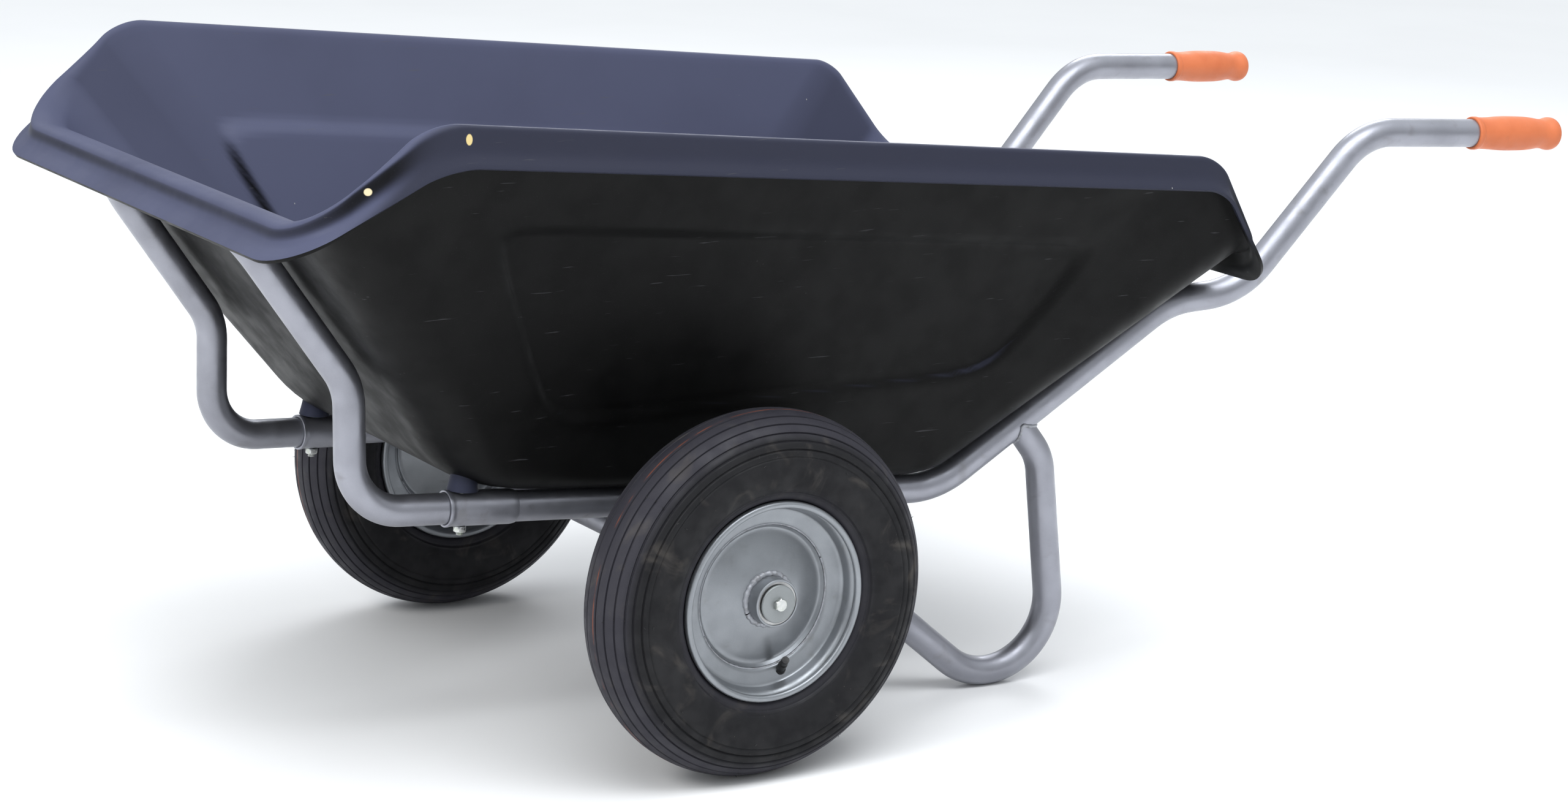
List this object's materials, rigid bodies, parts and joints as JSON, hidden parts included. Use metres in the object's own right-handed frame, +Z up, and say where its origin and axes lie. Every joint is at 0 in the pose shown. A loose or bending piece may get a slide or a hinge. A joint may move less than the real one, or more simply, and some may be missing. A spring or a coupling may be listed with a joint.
{
  "type": "wheelbarrow",
  "caption": "Two-wheeled wheelbarrow with a moulded tub, rolled rim and pouring lip, bent-tube frame with front bow, pneumatic wheels on a cross axle and contoured grips.",
  "frame": {"origin": "on the ground, under the middle of the barrow's length and width", "axes": "+X towards the nose, +Y towards the barrow's left, +Z up"},
  "size_m": [1.7359, 0.8048, 0.7312],
  "materials": {
    "tub_plastic": "dark blue-black moulded plastic with a fine grain and a soft sheen",
    "frame_paint": "satin silver-grey paint with slight orange peel",
    "wheel_paint": "satin silver paint over pressed steel",
    "tyre_rubber": "matt charcoal rubber",
    "soft_rubber": "black rubber",
    "grip_plastic": "soft orange plastic",
    "zinc_plate": "zinc-plated steel, slightly yellow",
    "machined_steel": "turned steel"
  },
  "bodies": {
    "frame": {"tub": "tub_plastic", "front_bow": "frame_paint", "axle_tube": "frame_paint", "tub_bolts_front": "zinc_plate", "tub_bolts_rear": "zinc_plate", "tub_washers_front": "zinc_plate", "tub_washers_rear": "zinc_plate", "tub_nuts_front": "zinc_plate", "tub_nuts_rear": "zinc_plate", "sleeve_nuts": "zinc_plate", "tub_spacers": "soft_rubber", "rail_left": "frame_paint", "rail_right": "frame_paint", "sleeve_left": "frame_paint", "sleeve_right": "frame_paint", "leg_left": "frame_paint", "leg_right": "frame_paint", "grip_left": "grip_plastic", "grip_right": "grip_plastic", "axle_bracket_left": "frame_paint", "axle_bracket_right": "frame_paint", "axle_stub_left": "machined_steel", "axle_stub_right": "machined_steel", "axle_washer_left": "zinc_plate", "axle_washer_right": "zinc_plate", "axle_bolt_left": "zinc_plate", "axle_bolt_right": "zinc_plate"},
    "wheel_left": {"tyre_left": "tyre_rubber", "inner_tube_left": "soft_rubber", "valve_left": "soft_rubber", "valve_cap_left": "soft_rubber", "rim_left": "wheel_paint", "disc_outer_left": "wheel_paint", "disc_inner_left": "wheel_paint", "hub_left": "wheel_paint", "bearing_outer_left": "machined_steel", "bearing_inner_left": "machined_steel", "hub_spacer_left": "machined_steel"},
    "wheel_right": {"tyre_right": "tyre_rubber", "inner_tube_right": "soft_rubber", "valve_right": "soft_rubber", "valve_cap_right": "soft_rubber", "rim_right": "wheel_paint", "disc_outer_right": "wheel_paint", "disc_inner_right": "wheel_paint", "hub_right": "wheel_paint", "bearing_outer_right": "machined_steel", "bearing_inner_right": "machined_steel", "hub_spacer_right": "machined_steel"}
  },
  "joints": [
    {"name": "wheel_left_spin", "type": "hinge", "parent": "frame", "child": "wheel_left", "pos_m": [0.3076, 0.349, 0.2], "axis": [0, 1, 0], "continuous": true},
    {"name": "wheel_right_spin", "type": "hinge", "parent": "frame", "child": "wheel_right", "pos_m": [0.3076, -0.349, 0.2], "axis": [0, 1, 0], "continuous": true}
  ]
}
